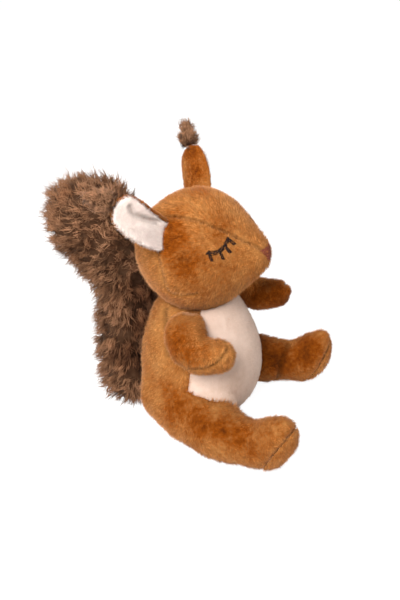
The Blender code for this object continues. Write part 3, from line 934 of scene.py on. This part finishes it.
def add_lamp(name, place_at, size, power):
    """A round soft lamp that points where the camera does."""
    lamp = bpy.data.objects.new(name, bpy.data.lights.new(name, "AREA"))
    lamp.data.shape = "DISK"
    lamp.data.size = size
    lamp.data.energy = power
    lamp.location = place_at
    lamp.rotation_mode = "QUATERNION"
    lamp.rotation_quaternion = (CAMERA_TARGET - Vector(place_at)).to_track_quat("-Z", "Y")
    bpy.context.scene.collection.objects.link(lamp)


def set_world():
    """Soft grey light all round, seen by the camera as white."""
    world = bpy.data.worlds.new("studio")
    bpy.context.scene.world = world
    world.use_nodes = True
    nodes, links = world.node_tree.nodes, world.node_tree.links
    background = nodes["Background"]
    background.inputs["Color"].default_value = (1, 1, 1, 1)
    seen = nodes.new("ShaderNodeLightPath")
    links.new(
        ranged(nodes, links, seen.outputs["Is Camera Ray"], 0, 1, WORLD_STRENGTH, 1),
        background.inputs["Strength"],
    )


def add_floor():
    """A white floor that keeps only a share of the shadow on it when the camera sees it."""
    bm = bmesh.new()
    bmesh.ops.create_grid(bm, x_segments=1, y_segments=1, size=FLOOR_HALF_SIZE)
    mesh = bpy.data.meshes.new("floor")
    bm.to_mesh(mesh)
    bm.free()
    floor = bpy.data.objects.new("floor", mesh)
    bpy.context.scene.collection.objects.link(floor)
    made, nodes, links = new_material("floor")
    shader = nodes["Principled BSDF"]
    shader.inputs["Base Color"].default_value = (FLOOR_WHITE, FLOOR_WHITE, FLOOR_WHITE, 1)
    shader.inputs["Roughness"].default_value = 1
    shader.inputs["Specular IOR Level"].default_value = 0
    glow = nodes.new("ShaderNodeEmission")
    glow.inputs["Strength"].default_value = FLOOR_GLOW
    seen = nodes.new("ShaderNodeLightPath")
    mixed = nodes.new("ShaderNodeMixShader")
    links.new(
        ranged(nodes, links, seen.outputs["Is Camera Ray"], 0, 1, 0, 1 - FLOOR_SHADOW_SHARE),
        mixed.inputs["Fac"],
    )
    links.new(shader.outputs["BSDF"], mixed.inputs[1])
    links.new(glow.outputs["Emission"], mixed.inputs[2])
    links.new(mixed.outputs["Shader"], nodes["Material Output"].inputs["Surface"])
    mesh.materials.append(made)
    floor.location.z = -FLOOR_GAP


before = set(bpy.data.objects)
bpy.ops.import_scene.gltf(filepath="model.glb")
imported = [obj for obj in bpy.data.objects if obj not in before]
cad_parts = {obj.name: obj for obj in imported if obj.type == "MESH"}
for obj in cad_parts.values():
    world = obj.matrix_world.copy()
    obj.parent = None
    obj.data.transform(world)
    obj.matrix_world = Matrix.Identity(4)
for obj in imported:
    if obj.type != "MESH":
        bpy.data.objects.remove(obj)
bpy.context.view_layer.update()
set_camera()

brown = pile(
    "brown_plush", BROWN, mottle=420, sheen=0.42, root_shade=0.5, tip_shade=1.14, strand_shade=0.5
)
cream = pile(
    "cream_plush", CREAM, mottle=300, sheen=0.2, root_shade=0.85, tip_shade=1.05, strand_shade=0.05
)
pink = pile(
    "pale_pink_plush", PINK, mottle=400, sheen=0.15, root_shade=0.8, tip_shade=1.05, strand_shade=0.07,
    seam_shade=0.6,
)
fur = pile(
    "grey_brown_fur", FUR, mottle=300, sheen=0.25, root_shade=0.25, tip_shade=1.45, strand_shade=0.45
)
eye_thread = thread("dark_brown_thread", EYE_THREAD)
nose_thread = thread("red_brown_thread", NOSE_THREAD)

# Head, with its gusset seams and cheek seams
head = skin_of("head", grid=1.35 * MM, passes=9)
head_tree = head.tree()
gussets = [
    seam_on_head(head_tree, [(degrees, share) for share in np.linspace(GUSSET_START, GUSSET_END, 17)])
    for degrees in (90 - GUSSET_ANGLE, 90 + GUSSET_ANGLE)
]
cheeks = [seam_on_head(head_tree, smoothed(places, 4)) for places in (CHEEK_SEAM, mirrored(CHEEK_SEAM))]
sewn(head, gussets + cheeks, depth=1.5 * MM, width=0.8 * MM, pucker=0.2 * MM)
head.marks = BRUSHED_AND_SHADED_HEAD
pile_of_head = short_pile(head, seed=11, nap=back_from_nose, **HEAD_PILE)
piece_from("head", brown, head, pile_of_head)

# Eyes and nose
for side in ("right", "left"):
    stitches = []
    for places, half_width in [(LID, LID_HALF_WIDTH)] + [(lash, LASH_HALF_WIDTH) for lash in LASHES]:
        stitches += satin(head_tree, mirrored(places) if side == "left" else places, half_width)
    embroidery(f"{side}_eye", eye_thread, stitches)
embroidery("nose", nose_thread, nose_stitches(head_tree))

# Body with its legs, belly panel and soles
body = skin_of("body_with_legs", grid=2 * MM, passes=6)
body.shift(BODY_WAVES * soft_noise(body.points, BODY_WAVE_SIZE, seed=3))
creases = [laid_on(body, np.array(places) * MM) for places in (ANKLE_CREASE, SHOULDER_CREASE)]
sewn(body, creases, depth=1.8 * MM, width=2 * MM, pucker=0.1 * MM)
body.marks = BRUSHED_AND_SHADED_BODY
belly = skin_of("belly_panel", grid=1.2 * MM, passes=14)
belly.marks = PAINTED_SHADE_BELLY
body.inlay = belly
pile_of_body = short_pile(body, seed=21, nap=down_to_feet, **BODY_PILE)
piece_from("body_with_legs", brown, body, pile_of_body)
pile_of_belly = short_pile(belly, seed=31, nap=downwards, **BELLY_PILE)
piece_from("belly_panel", cream, belly, pile_of_belly)
for side, seed in (("right", 41), ("left", 42)):
    sole = skin_of(f"{side}_sole", grid=1.2 * MM, passes=4)
    pile_of_sole = short_pile(sole, seed=seed, nap=downwards, **SOLE_PILE)
    piece_from(f"{side}_sole", brown, sole, pile_of_sole)

# Arms
for side, seed in (("right", 51), ("left", 52)):
    arm = skin_of(f"{side}_arm", grid=1.4 * MM, passes=6)
    seam = np.array(ARM_SEAM) * MM
    arm.marks = BRUSHED_ARM
    if side == "left":
        seam = seam * (-1, 1, 1) + LEFT_ARM_REACH
        arm.marks = BRUSHED_AND_SHADED_LEFT_ARM
    over = np.maximum(arm.points[:, 2] - SHOULDER_LOW, 0)
    arm.points[:, 2] -= SHOULDER_DROP * over
    arm.shift(-SHOULDER_SINK * over / over.max())
    sewn(arm, [laid_on(arm, seam)], depth=1.2 * MM, width=0.8 * MM, pucker=0.15 * MM)
    pile_of_arm = short_pile(arm, seed=seed, nap=along_arm, **ARM_PILE)
    piece_from(f"{side}_arm", brown, arm, pile_of_arm)

# Ears, their linings and tufts
for side, seed in (("right", 61), ("left", 66)):
    mirror = np.array([1 if side == "right" else -1, 1, 1])
    ear = skin_of(f"{side}_ear", grid=0.8 * MM, passes=4)
    ear.marks = [(mirror * place_of, radius, strength) for place_of, radius, strength in BRUSHED_EAR]
    pile_of_ear = short_pile(ear, seed=seed, nap=along_ear, **EAR_PILE)
    piece_from(f"{side}_ear", brown, ear, pile_of_ear)
    lining = skin_of(f"{side}_ear_lining", grid=0.65 * MM, passes=3)
    lining.marks = [(mirror * place_of, radius, strength) for place_of, radius, strength in PAINTED_SHADE_LINING]
    lining.shift(np.full(len(lining.points), LINING_RISE))
    fold = laid_on(lining, mirror * LINING_CREASE * MM)
    sewn(lining, [fold], depth=1.6 * MM, width=1.7 * MM, pucker=0.05 * MM)
    pile_of_lining = short_pile(lining, seed=seed + 1, nap=from_middle, **LINING_PILE)
    piece_from(f"{side}_ear_lining", pink, lining, pile_of_lining)
    tuft = skin_of(f"{side}_ear_tuft", grid=0.9 * MM, passes=4)
    tuft.shift(np.full(len(tuft.points), -TUFT_SINK))
    pile_of_tuft = long_pile(tuft, seed=seed + 2, nap=along_tuft, **TUFT_PILE)
    piece_from(f"{side}_ear_tuft", fur, tuft, pile_of_tuft)

# Tail
tail = skin_of("tail", grid=2.6 * MM, passes=8)
tail.marks = TAIL_TONE_AND_SHADE
curl_distance = np.linalg.norm(tail.points - np.array(TAIL_CURL) * MM, axis=1)
tail.shift(CURL_SWELL * np.exp(-((curl_distance / CURL_REACH) ** 2)) - TAIL_SINK)
pile_of_tail = long_pile(tail, seed=71, nap=out_of_tail, **TAIL_PILE)
piece_from("tail", fur, tail, pile_of_tail)

# Studio
add_floor()
set_world()
for name, (place_at, size, power) in LAMPS.items():
    add_lamp(name, place_at, size, power)
bpy.context.scene.view_settings.view_transform = "Standard"
